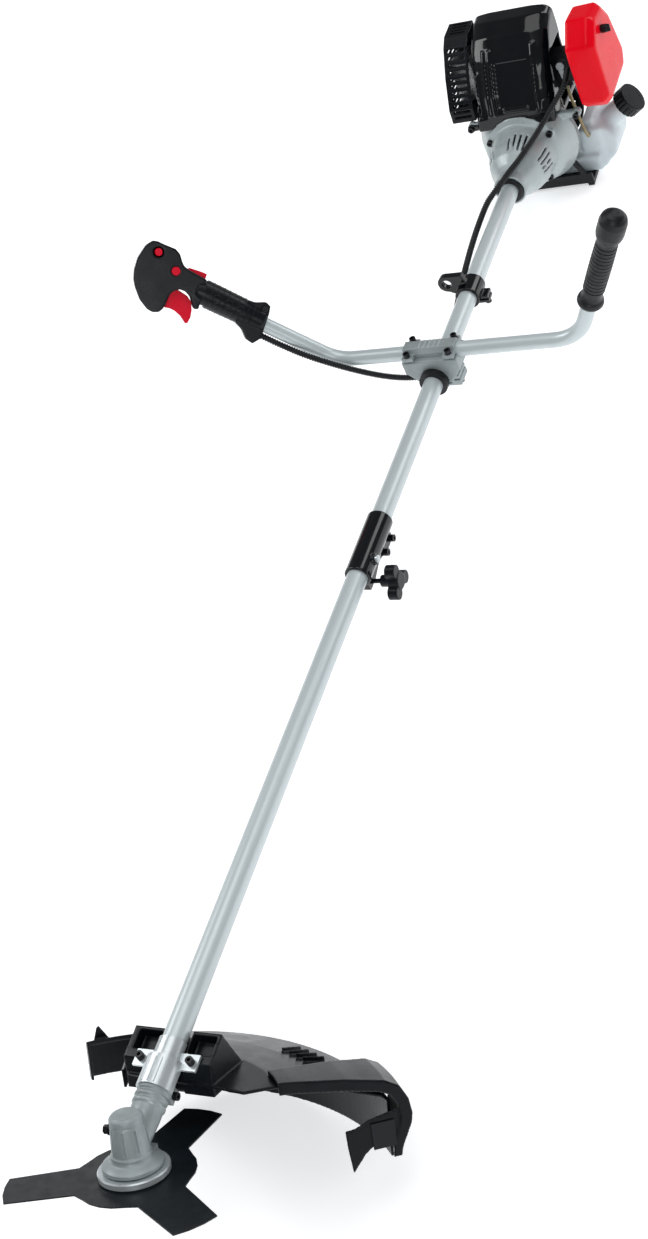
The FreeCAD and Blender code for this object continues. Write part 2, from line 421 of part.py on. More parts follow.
trigger = cut(trigger, th_cyl(TRIG_P[0], TRIG_P[1], 2.0 + FIT, -20, 20))
parts["throttle_trigger"] = trigger
lock_poly = [(130.2, -17), (130.2, -13.6), (127, -12.6), (118, -16.5), (98, -17.6), (95.4, -21), (96.2, -27.4), (104, -27.0), (120, -25.0), (126, -19)]
lock = th_prism(lock_poly, -5.4, 5.4)
lock = cut(lock, th_cyl(LOCK_P[0] + 0.5, LOCK_P[1], 1.6 + FIT, -20, 20))
parts["trigger_lockout"] = lock
HT = (HT_P[0] + 4, HT_P[1] + 1.5)
parts["half_throttle_button"] = fuse(th_cyl(HT[0], HT[1], 3.4, 8.0, 18.5), th_cyl(HT[0], HT[1], 5.6, 18.0, 24.0))
parts["stop_switch"] = fuse(th_cyl(SW_P[0], SW_P[1], 5.0, 8.5, 17.0), th_cyl(SW_P[0], SW_P[1], 4.2, 16.5, 18.2))

# ================================================================ engine
CONE = [(1597, 50.5), (1601, 58.0), (1606, 61.5), (1632, 74.5)]
ch = revx([(1508, 21.0), (1508, 24.2), (1524, 24.2), (1533, 28.5), (1546, 38.0), (1560, 44.0), (1574, 47.5), (1592, 49.5)] + CONE +
          [(1632, 71.5), (1606.5, 58.4), (1602.5, 55.0), (1599.0, 47.6), (1588, 46.4), (1562, 41.0), (1562, 16.0), (1545, 16.0), (1545, 9.6), (1533, 9.6), (1533, TUBE_R),
           (1523, TUBE_R), (1523, 21.0)])
cone_clear = revx([(1580, 0), (1580, 51.0), (1597, 51.0), (1601, 58.6), (1606, 62.1), (1632, 75.1), (1640, 75.1), (1640, 0)])
cone_in = revx([(1590, 0), (1590, 46.4), (1599.0, 47.6), (1602.5, 55.0), (1606.5, 58.4), (1632, 71.5), (1645, 71.5), (1645, 0)])
FB = [(46.5, 26.0), (-27.0, -46.5), (-47.0, 27.0), (20.0, -50.0)]
for y, z in FB:
    ch = fuse(ch, cyl(6.0, 33.0, (1599.0, y, z), (1, 0, 0)))
for y, z in FB:
    ch = cut(ch, cyl(2.5, 80, (1570, y, z), (1, 0, 0)), cyl(5.1, 13, (1586, y, z), (1, 0, 0)))
for g in (30.0, 102.0, 174.0, 246.0, 318.0):         # five groups of four cooling slots
    for k in range(4):
        sl = box(1551, 1579, -1.3, 1.3, 35, 56)
        sl.rotate(V(0, 0, 0), V(1, 0, 0), g - 90 + (k - 1.5) * 10.5)
        ch = ch.cut(sl)
ch = cut(ch, box(1507, 1530, -1.0, 1.0, -30, -12))
SCREW = [(71.0, 49.0, 1604.0), (-86.0, 38.0, 1617.0)]
for y, z, x in SCREW:
    s_ = 1 if y > 0 else -1
    ear = fuse(cyl(6.2, 8, (x + 6.2, y, z), (1, 0, 0)), box(x + 6.2, x + 14.2, min(y, s_ * 44), max(y, s_ * 44), z - 6, z + 4))
    ch = fuse(ch, cut(ear, cone_in))
    ch = cut(ch, cyl(2.0, 30, (x - 4, y, z), (1, 0, 0)))
parts["clutch_housing"] = ch

drum = revx([(1546, 4.0), (1546, 9.0), (1563, 9.0), (1563, 38.0), (1585, 38.0), (1585, 35.0), (1566, 35.0), (1566, 8.0), (1566, 4.0)])
parts["clutch_drum"] = drum
shoes = []
for s in (0, 180):
    sh = ring(33.6, 15.0, 14, (1569, 0, 0), (1, 0, 0)).common(box(1560, 1590, -40, 40, 2.2, 40))
    sh = sh.cut(cyl(3.0, 20, (1565, 22, 12), (1, 0, 0)))
    sh.rotate(V(0, 0, 0), V(1, 0, 0), s)
    shoes.append(sh)
hubc = fuse(cyl(14.0, 14, (1569, 0, 0), (1, 0, 0)), box(1572, 1580, -30, 30, -1.6, 1.6)).cut(cyl(6.0, 20, (1566, 0, 0), (1, 0, 0)))
spr = [cyl(2.2, 16, (1576, 24, -8), (0, 0, 1))]
parts["clutch_shoes"] = Part.makeCompound(shoes + [hubc])

fly = revx([(1600, 6.0), (1600, 43.0), (1603, 45.0), (1608, 45.0), (1608, 22.0), (1614, 20.0), (1614, 6.0)])
for k in range(16):
    f = box(1607.5, 1624, 26, 44.5, -1.2, 1.2)
    f.rotate(V(1608, 44.5, 0), V(1, 0, 0), -18)
    f.rotate(V(0, 0, 0), V(1, 0, 0), 22.5 * k)
    fly = fly.fuse(f)
parts["flywheel"] = fly
WEB_R = 25.0
cr_front = fuse(cyl(6.0, 80, (1569, 0, 0), (1, 0, 0)), cyl(8.0, 16, (1646, 0, 0), (1, 0, 0)), cyl(WEB_R, 8.5, (1662, 0, 0), (1, 0, 0)))
cr_rear = fuse(cyl(WEB_R, 8.5, (1681.5, 0, 0), (1, 0, 0)), cyl(8.0, 18, (1690, 0, 0), (1, 0, 0)), cyl(6.0, 18, (1708, 0, 0), (1, 0, 0)))
parts["crankshaft"] = Part.makeCompound([cr_front, cr_rear])

case = fuse(cyl(HOUSING_R, 7, (1632, 0, 0), (1, 0, 0)), cyl(36.0, 75, (1638, 0, 0), (1, 0, 0)), box(CYL_X - 28, CYL_X + 28, -30, 30, 0, 40),
            box(1640, 1700, -30, 30, -52, 0))
case = cut(case, cyl(27.0, 36, (1659, 0, 0), (1, 0, 0)), cyl(8.0 + FIT, 30, (1642, 0, 0), (1, 0, 0)), cyl(6.3, 14, (1631, 0, 0), (1, 0, 0)),
           cyl(8.0 + FIT, 22, (1692, 0, 0), (1, 0, 0)), box(1664, 1688, -21, 21, 0, 41))
for y, z in FB:
    case = cut(case, cyl(2.5, 20, (1625, y, z), (1, 0, 0)))
parts["crankcase"] = case

cylb = cyl(24.5, 84, (CYL_X, 0, 40), (0, 0, 1))
cylb = fuse(cylb, box(CYL_X - 28, CYL_X + 28, -30, 30, 40, 46))
for i in range(9):
    z = 52 + 8.5 * i
    fin_ = box(CYL_X - 32, CYL_X + 30, -34, 36, z, z + 2.2)
    cylb = fuse(cylb, fin_)
cylb = fuse(cylb, box(CYL_X - 14, CYL_X + 14, -44, 0, 76, 100), box(CYL_X - 15, CYL_X + 15, 0, 46, 84, 108))
cylb = cut(cylb, cyl(BORE_CYL, 71, (CYL_X, 0, 39), (0, 0, 1)), cyl(7.0, 24, (CYL_X, -44.5, 88), (0, 1, 0)), cyl(8.0, 30, (CYL_X, 17, 96), (0, 1, 0)),
           cyl(5.0, 20, (CYL_X, 0, 108), (0, 0, 1)))
parts["cylinder"] = cylb
pst = cyl(BORE_CYL - FIT, 26, (CYL_X, 0, 68), (0, 0, 1)).cut(cyl(BORE_CYL - 3, 20, (CYL_X, 0, 67), (0, 0, 1)))
gp = cyl(4.0, 2 * (BORE_CYL - 3.4), (CYL_X, -(BORE_CYL - 3.4), 76), (0, 1, 0))
gp = cyl(4.0, 37, (CYL_X - 18.5, 0, 76), (1, 0, 0))
parts["piston"] = fuse(pst, gp)
rod = fuse(cyl(7.0, 7, (CYL_X - 3.5, 0, 76), (1, 0, 0)), cyl(9.5, 7, (CYL_X - 3.5, 0, 14), (1, 0, 0)), box(CYL_X - 2.5, CYL_X + 2.5, -4.5, 4.5, 18, 74),
           cyl(5.0, 9.6, (CYL_X - 4.8, 0, 14), (1, 0, 0)))
parts["connecting_rod"] = cut(rod, cyl(4.0, 40, (CYL_X - 20, 0, 76), (1, 0, 0)))
parts["spark_plug"] = fuse(cyl(5.0, 14, (CYL_X, 0, 110), (0, 0, 1)), hexbar(16, 9, (CYL_X, 0, 124), (0, 0, 1)), cyl(5.5, 7, (CYL_X, 0, 132.5), (0, 0, 1)),
                          cyl(8.0, 12, (CYL_X, 0, 139), (0, 0, 1)))

# shroud: a hood whose sloping front arches over the fan housing
SH = [(1600, 44), (1602, 66), (1612, 92), (1640, 134), (1662, 158), (1684, 171), (1708, 173), (1711, 168), (1711, 30), (1640, 30), (1640, 44)]
SHI = [(1603.2, 20), (1605.2, 66), (1615, 90.5), (1642.5, 132), (1664, 155.3), (1685, 168), (1706, 170), (1708, 166), (1708, 20)]
shroud = xz_prism(SH, -62, 58.5)
edge = shroud.copy()
try:
    es = [e for e in shroud.Edges if abs(e.Vertexes[0].Point.y - e.Vertexes[-1].Point.y) < 1e-6 and min(v.Point.z for v in e.Vertexes) > 64 and max(v.Point.x for v in e.Vertexes) < 1710]
    shroud = shroud.makeFillet(10.0, es)
except Exception as ex:
    print("shroud fillet skipped", ex)
hood_in = xz_prism(SHI, -59, 55.5)
shroud = cut(shroud, hood_in, cone_clear, box(CYL_X - 18, CYL_X + 18, 50, 62, 80, 112),
             box(1646, 1704, -80, -55, 40, 122), cyl(10.5, 60, (CYL_X, 0, 150), (0, 0, 1)).common(box(1600, 1700, -20, 20, 159, 161)),
             box(1638.9, 1712, -29, 29, 20, 41), box(1639.5, 1709, -40, 40, 20, 41))
for y, z in FB[:1] + FB[2:3]:
    shroud = cut(shroud, cyl(8.0, 46, (1592, y, z), (1, 0, 0)))
for y, z, x in SCREW:                                  # mounting ears
    s_ = 1 if y > 0 else -1
    shroud = fuse(shroud, cut(cyl(6.2, 6, (x, y, z), (1, 0, 0)), cone_clear), cut(box(x, x + 6, min(y, s_ * 56), max(y, s_ * 56), z - 4, z + 5), cone_clear))
    shroud = cut(shroud, box(x + 6, x + 14.6, min(y, s_ * 42), max(y, s_ * 42), z - 6.4, z + 4.4), cyl(6.5, 8.6, (x + 6, y, z), (1, 0, 0)), cyl(2.0, 30, (x - 4, y, z), (1, 0, 0)))
shroud = max(shroud.Solids, key=lambda q: q.Volume)
parts["engine_shroud"] = shroud

# muffler and its guard on the +Y side
parts["muffler"] = cut(fuse(box(1657, 1708, 62, 95, 66, 127), box(CYL_X - 15, CYL_X + 15, 46, 62, 84, 108)), cyl(7.0, 26, (CYL_X, 45, 96), (0, 1, 0)))
MG = [(1613, 57.5), (1615, 78), (1640, 118), (1668, 150), (1684, 160), (1716, 162), (1716, 57.5)]
MGI = [(1615.6, 60.1), (1617.6, 77.2), (1642.3, 116.6), (1669.4, 147.6), (1684.6, 157.4), (1713.4, 159.4), (1713.4, 60.1)]
mg = xz_prism(MG, 62, 100)
mg = cut(mg, xz_prism(MGI, 60, 97.6))
for i in range(11):
    z = 64 + 8.0 * i
    mg = cut(mg, box(1606, 1700, 67, 94, z, z + 3.6))
    mg = cut(mg, box(max(1622, 1612 + 0.62 * (z - 50)) + 8, 1708, 92, 110, z, z + 3.6))
for i in range(4):
    mg = cut(mg, box(1688 + 7 * i, 1691 + 7 * i, 67, 93, 150, 170))
parts["muffler_guard"] = mg

# carburettor side
carb = fuse(box(CYL_X - 16, CYL_X + 16, -52, -44, 72, 104), box(CYL_X - 18, CYL_X + 18, -84, -52, 70, 108), cyl(12, 21.2, (CYL_X, -105.3, 88), (0, 1, 0)),
            box(CYL_X - 12, CYL_X + 12, -78, -58, 60, 70))
carb = cut(carb, cyl(7.0, 66, (CYL_X, -107, 88), (0, 1, 0)), cyl(2.5, 12, (CYL_X - 20, -70, 98), (1, 0, 0)))
parts["carburettor"] = carb
ARM_P = (CYL_X - 18.4, -70.0, 98.0)
arm = fuse(cyl(2.45, 10, (CYL_X - 22, -70, 98), (1, 0, 0)), cyl(6.0, 2.6, (CYL_X - 21.5, -70, 98), (1, 0, 0)),
           prism([(CYL_X - 21.5, -66, 95), (CYL_X - 21.5, -74, 95), (CYL_X - 21.5, -72.5, 78), (CYL_X - 21.5, -68, 78)], (2.6, 0, 0)))
parts["throttle_arm"] = arm

base_holes = (cyl(9.0, 20, (CYL_X, -118, 88), (0, 1, 0)), cyl(2.5, 30, (1652, -120, 148), (0, 1, 0)))
parts["air_filter_element"] = cut(box(1622, 1688, -134, -113, 68, 144), cyl(9.0, 14, (CYL_X, -126, 88), (0, 1, 0)), cyl(3.4, 30, (1652, -140, 148), (0, 1, 0)))
def loft(sections):
    ws = []
    for s in sections:
        ws.append(Part.makePolygon([V(*p) for p in s] + [V(*s[0])]))
    return Part.makeLoft(ws, True, True)
def af_sec(y, g, gx=0.0, gz=0.0):
    """eight-sided outline of the filter cover at station y, shrunk by g"""
    c = [(1602, 62), (1601, 152), (1634, 180), (1680, 176), (1704, 148), (1722, 72), (1708, 51), (1616, 48)]
    cx, cz = 1662.0, 113.0
    out = []
    for x, z in c:
        dx, dz = x - cx, z - cz
        L = sqrt(dx * dx + dz * dz)
        out.append((cx + dx * (1 - g / L) + gx, y, cz + dz * (1 - g / L) + gz))
    return out
outer = fuse(loft([af_sec(-104.0, 1.5), af_sec(-138.0, 0.0)]), loft([af_sec(-138.0, 0.0), af_sec(-147.0, 10.0)]))
innr = fuse(loft([af_sec(-103.0, 4.7), af_sec(-137.0, 3.2)]), loft([af_sec(-137.0, 3.2), af_sec(-144.2, 12.0)]))
plate = loft([af_sec(-112.5, 5.6), af_sec(-105.5, 5.8)])
airbox = cut(box(1622, 1700, -106.0, -88.2, 66, 146), box(1652, 1698.0, -105.5, -84, 68, 112), box(1616, 1652, -94, -80, 84, 108))
base = cut(fuse(plate, airbox), *base_holes).common(innr)
base = max(base.Solids, key=lambda q: q.Volume)
parts["air_filter_base"] = base
cover = cut(outer, innr)
cover = cut(cover, cyl(2.6, 60, (1652, -170, 148), (0, 1, 0)))
parts["air_filter_cover"] = cover
KN = fuse(cyl(2.4, 42, (1652, -148, 148), (0, 1, 0)), cyl(6.0, 8.0, (1652, -155.2, 148), (0, 1, 0)), box(1650.4, 1653.6, -160, -154, 142.5, 153.5))
parts["air_filter_knob"] = KN.cut(cover)

# tank under the engine, its neck pointing out and up
t1 = box(1662, 1742, -84, 42, -90, -64)
tank = fuse(t1, box(1676, 1742, -84, -66.5, -90, -8))
try:
    tank = tank.makeFillet(8.0, [e for e in tank.Edges if e.Length > 17])
except Exception as ex:
    print("tank fillet skipped", ex)
side = Part.makeCylinder(34.0, 62.0, V(1678, -78, -54), V(1, 0, 0)).cut(box(1600, 1760, -66.5, 60, -100, 0))
ND = V(0, -0.83, 0.557)
neckt = Part.makeCylinder(17.0, 44.0, V(1706, -94.0, -34.0), ND)
tank = fuse(tank, side, neckt)
tank = cut(tank, Part.makeCylinder(13.0, 60.0, V(1706, -94.0, -34.0) + ND * 10.0, ND), box(1668, 1736, -78, 36, -85, -69), box(1678, 1736, -98, -74, -84, -30),
           cyl(4.2, 12, (1672, -76, -30), (1, 0, 0)))
parts["fuel_tank"] = tank
CB0 = V(1706, -94.0, -34.0) + ND * 44.3
capf = Part.makeCylinder(22.5, 20.0, CB0 - ND * 4.0, ND)
for k in range(18):
    a = 20.0 * k
    g = Part.makeCylinder(1.6, 17.0, CB0 - ND * 4.5, ND)
    e1 = V(1, 0, 0); e2 = ND.cross(e1)
    g.translate((e1 * cos(radians(a)) + e2 * sin(radians(a))) * 23.0)
    capf = capf.cut(g)
capf = cut(capf, Part.makeCylinder(17.3, 12.0, CB0 - ND * 12.0, ND))
capf = fuse(capf, Part.makeCylinder(12.6, 8.0, CB0 - ND * 7.0, ND))
parts["fuel_cap"] = capf
fl_P = [V(1672.5, -76, -30), V(1662, -77, -28), V(1653, -78, -12), V(1655, -74, 18), V(1662, -69, 44), V(1668, -67, 58.7)]
fl, flw = pipe(fl_P, [4.5, 12, 30, 30], 2.4)
parts["fuel_line"] = fuse(fl, cyl(4.1, 8, (1672.2, -76, -30), (1, 0, 0)), cyl(7.0, 2.0, (1673.9, -76, -30), (-1, 0, 0)))

# recoil starter housing at the rear, with its pull handle
rc = fuse(cyl(62.0, 6, (1714, 0, 0), (1, 0, 0)), revx([(1719, 0), (1719, 60), (1736, 56), (1744, 46), (1746, 0)]))
rc = cut(rc, revx([(1713.5, 0), (1713.5, 57.5), (1734, 53.5), (1741.5, 44), (1743, 0)]))
for k in range(8):
    s_ = box(1730, 1750, -2, 2, 24, 44); s_.rotate(V(0, 0, 0), V(1, 0, 0), 45 * k + 22)
    rc = rc.cut(s_)
rope_boss = box(1719, 1735, 30, 52, 34, 60)
rc = fuse(rc, cut(rope_boss, cyl(53, 40, (1712, 0, 0), (1, 0, 0))))
HD = V(0, 0.5, 0.866)
HP = V(1729.5, 41, 60.4)
rc = cut(rc, Part.makeCylinder(2.2, 60, HP - HD * 40, HD), cyl(53.0, 17, (1716, 0, 0), (1, 0, 0)), box(1700, 1760, -112, -20, -120, -60).common(box(1700, 1760, -200, -64, -200, 0)),
         box(1640, 1760, -90, 45, -100, -63.5))
ties = [cyl(4.0, 2.6, (1712.6, 40 * cos(radians(a)), 40 * sin(radians(a))), (1, 0, 0)) for a in (45, 135, 225, 315)]
rc = fuse(rc, ring(36.0, 30.0, 8.0, (1713.1, 0, 0), (1, 0, 0)))
rc = fuse(rc, *[cut(box(1713.2, 1718, -3, 3, 34, 60),) for _ in (0,)])
parts["recoil_housing"] = rc
hndl = fuse(Part.makeCylinder(2.0, 26, HP - HD * 22, HD), Part.makeCylinder(5.5, 6, HP + HD * 3.0, HD))
hb = cyl(7.0, 30, (HP.x - 12, 0, 0), (1, 0, 0)); hb.translate(V(0, HP.y, HP.z) + HD * 13.0)
parts["starter_handle"] = fuse(hndl, hb)

# stand
stand = fuse(box(1640, 1712, -72, 56, -94.0, -90.6), box(1640, 1645, -72, 56, -95.5, -78))
for y in (-72, 46):
    stand = fuse(stand, box(1640, 1712, y, y + 10, -125, -90.6))
for s_ in (-1, 1):
    stand = fuse(stand, prism([(1640, s_ * 62, -92), (1640, s_ * 71, -92), (1640, s_ * 52, -50), (1640, s_ * 43, -50)], (5.0, 0, 0)),
                 box(1640, 1645, min(s_ * 52, s_ * 30.2), max(s_ * 52, s_ * 30.2), -60, -44))
parts["_stand"] = stand

# throttle cable conduit, clipped along the tube from carburettor to throttle handle
CP = [V(1646, -83, 97), V(1632, -85, 96), V(1616, -84, 90.5), V(1603, -69, 75.5), V(1589, -49, 54.5), V(1575, -40, 46.5), V(1560, -32, 41),
      V(1542, -23, 36), V(1524, -15, 32.5), V(1505, -8, 31.5), V(1487, -2, 29.5), V(1470, 9, 23.5), V(1455, 15.5, 20), V(1420, 21.5, 11), V(1375, 22.5, 5.5), V(1330, 21, 0.5), V(1296, 21.5, -7.5),
      V(1262, 19.5, -13.0), V(1218, 10.5, -19.5), V(1182, 5.5, -24.5), V(1157, 10.5, -27.0), V(1140, 29, -24.0), V(1128, 52, -15.5), V(1117, 78, 0), V(1108, 108, 21),
      V(1102.5, 138, 42), V(1100, 168, 62), th(-34, 15.2), th(-17, 15.2), th(8, 15.2)]
def cord_path(P):
    """straight runs joined by tangent arcs as large as the runs allow"""
    rad, out = [], [P[0]]
    for i in range(1, len(P) - 1):
        a, b, c = P[i - 1], P[i], P[i + 1]
        d1, d2 = b - a, c - b
        t = d1.getAngle(d2)
        run = min(d1.Length, d2.Length)
        if t < 0.004:
            continue
        rad.append(0.45 * run / tan(t / 2)); out.append(b)
    out.append(P[-1])
    return out, rad
cp, crad = cord_path(CP)
cable, cw = pipe(cp, crad, CABLE_R)
print("conduit radii", [round(r, 1) for r in crad])
print("conduit length %.1f volume ratio %.4f" % (cw.Length, cable.Volume / (pi * CABLE_R ** 2 * cw.Length)))
parts["throttle_cable"] = cable
clear_bore = Part.makeCylinder(CABLE_R + 0.1, 40, th(-24, 15.2), TA)
for k in ("throttle_housing_front", "throttle_housing_rear"):
    parts[k] = parts[k].cut(clear_bore)

# fasteners of the upper assembly, black socket screws throughout
uf = [socket_bolt((x, -7.5, z), (0, -1, 0), 2.45, 15.5, 4.6, 7.0) for x, z in CB]
uf += [socket_bolt((x, y, BAR_Z + 6.5), (0, 0, 1), 2.45, 18, 4.3, 6.0) for x, y in HB]
uf.append(socket_bolt((BAR_X, -24.5, -18.0), (0, 0, -1), 2.45, 15, 4.3, 5.0))
uf.append(socket_bolt((1283, -21, -16.0), (0, 0, -1), 2.45, 12, 4.3, 5.0))
uf += [socket_bolt((1599.0, y, z), (-1, 0, 0), 2.45, 38, 4.6, 5.0) for y, z in FB]
uf += [socket_bolt((x, y, z), (-1, 0, 0), 1.95, 13, 4.6, 3.0) for y, z, x in SCREW]
a_, d_ = 7.5, -18.7
uf += [Part.makeCylinder(2.15, 22, th(a_, d_, -12.4), TN).fuse(Part.makeCylinder(4.3, 3.0, th(a_, d_, 9.6), TN)).cut(hexbar(4.0, 2.0, tuple(th(a_, d_, 10.8)), tuple(TN)))]
uf += pins
parts["upper_fasteners"] = Part.makeCompound(uf)

# ================================================================ into the resting frame
def rest(s):
    s = s.copy()
    s.rotate(V(0, 0, 0), V(0, 1, 0), TILT)
    return s
print("floor reaches the tube frame at", [round((-p[0] * sin(radians(TILT)) + p[1]) , 2) for p in ((1640, 0), (1746, 0))])
stand = parts.pop("_stand")
R = {k: rest(s) for k, s in parts.items()}
floor = R["blade_guard"].BoundBox.ZMin
st = rest(stand)
st = st.cut(Part.makeBox(400, 400, 200, V(1500, -200, floor - 200)))
st = cut(st, rest(parts["crankcase"]), rest(parts["clutch_housing"]), rest(parts["recoil_housing"]), rest(parts["fuel_tank"]), rest(parts["fuel_line"]),
         rest(cyl(36.1, 80, (1636, 0, 0), (1, 0, 0))), rest(parts["upper_fasteners"]))
R["engine_stand"] = max(st.Solids, key=lambda q: q.Volume)
lo = [1e9] * 3; hi = [-1e9] * 3
for s in R.values():
    s.BoundBox
    b = s.optimalBoundingBox(False) if hasattr(s, "optimalBoundingBox") else s.BoundBox
    lo = [min(lo[0], b.XMin), min(lo[1], b.YMin), min(lo[2], b.ZMin)]
    hi = [max(hi[0], b.XMax), max(hi[1], b.YMax), max(hi[2], b.ZMax)]
print("box", [round(v, 2) for v in lo], [round(v, 2) for v in hi])
SHIFT = V(-(lo[0] + hi[0]) / 2, -(lo[1] + hi[1]) / 2, -lo[2])
print("shift", SHIFT, "size", [round(hi[i] - lo[i], 2) for i in range(3)])
tot = 0
for k in sorted(R):
    s = R[k].copy(); s.translate(SHIFT)
    if not s.isValid():
        print("INVALID", k)
    ns = len(s.Solids)
    if ns == 0:
        print("NO SOLID", k); continue
    if s.ShapeType == "Compound" and ns == 1:
        s = s.Solids[0]
    s.exportStep("parts/%s.step" % k)
    tot += 1
    b = s.BoundBox
    print("%-26s solids %2d vol %10.1f  x %.0f..%.0f y %.0f..%.0f z %.0f..%.0f" % (k, ns, s.Volume, b.XMin, b.XMax, b.YMin, b.YMax, b.ZMin, b.ZMax))
print("nodes", tot)
def mapped(p):
    q = FreeCAD.Rotation(V(0, 1, 0), TILT).multVec(V(*p)) + SHIFT
    return q
print("spindle point", mapped((0, 0, 0)), "dir", FreeCAD.Rotation(V(0, 1, 0), TILT).multVec(V(sin(radians(HEAD_ANGLE)), 0, cos(radians(HEAD_ANGLE)))))
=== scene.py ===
import bpy, bmesh, json
from math import sin, cos, pi, radians, sqrt, atan2, hypot
from mathutils import Vector, Matrix


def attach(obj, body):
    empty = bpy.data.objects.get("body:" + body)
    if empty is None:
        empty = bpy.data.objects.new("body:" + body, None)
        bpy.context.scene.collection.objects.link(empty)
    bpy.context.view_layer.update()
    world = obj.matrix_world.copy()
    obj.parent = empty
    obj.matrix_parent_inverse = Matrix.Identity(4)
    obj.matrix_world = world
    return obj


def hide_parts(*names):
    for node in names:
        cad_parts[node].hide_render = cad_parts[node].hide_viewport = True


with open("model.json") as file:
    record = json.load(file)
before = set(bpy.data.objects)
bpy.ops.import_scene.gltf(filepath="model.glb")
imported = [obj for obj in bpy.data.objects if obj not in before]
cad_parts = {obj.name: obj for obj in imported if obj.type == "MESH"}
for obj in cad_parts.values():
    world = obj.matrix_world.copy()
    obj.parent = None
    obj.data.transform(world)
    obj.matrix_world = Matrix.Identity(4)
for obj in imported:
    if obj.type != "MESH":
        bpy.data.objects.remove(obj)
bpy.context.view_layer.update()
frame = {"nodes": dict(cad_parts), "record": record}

N = frame["nodes"]
scene = bpy.context.scene

# the modelling frame of the tube: origin where spindle and tube axes cross, x along the tube, z up
TILT = 4.2
SHIFT = Vector((-833.0830289164529, -17.92623424731815, 219.91771227091385))
ROT = Matrix.Rotation(radians(TILT), 3, "Y")


def P(x, y, z):
    return (ROT @ Vector((x, y, z)) + SHIFT) / 1000.0


def D(x, y, z):
    return (ROT @ Vector((x, y, z))).normalized()


# ---------------------------------------------------------------- camera
R0 = Vector((0.30174639, -0.88204373, -0.36186735))
R1 = Vector((-0.75076329, 0.01410877, -0.66042064))
R2 = Vector((0.58762539, 0.47095627, -0.65794878))
cam_data = bpy.data.cameras.new("camera")
cam = bpy.data.objects.new("camera", cam_data)
scene.collection.objects.link(cam)
X, Y, Z = ROT @ R0, -(ROT @ R1), -(ROT @ R2)
m = Matrix((X, Y, Z)).transposed().to_4x4()
m.translation = P(-596.75, -1002.10, 1431.33)
cam.matrix_world = m
cam_data.sensor_fit = "VERTICAL"
cam_data.sensor_height = 36.0
cam_data.lens = 1831.14 / 1239.0 * 36.0
cam_data.clip_start = 0.05
cam_data.clip_end = 50.0
scene.camera = cam

# ---------------------------------------------------------------- materials


def _n(t, kind, x, y, **kw):
    n = t.nodes.new(kind)
    n.location = (x, y)
    for k, v in kw.items():
        setattr(n, k, v)
    return n


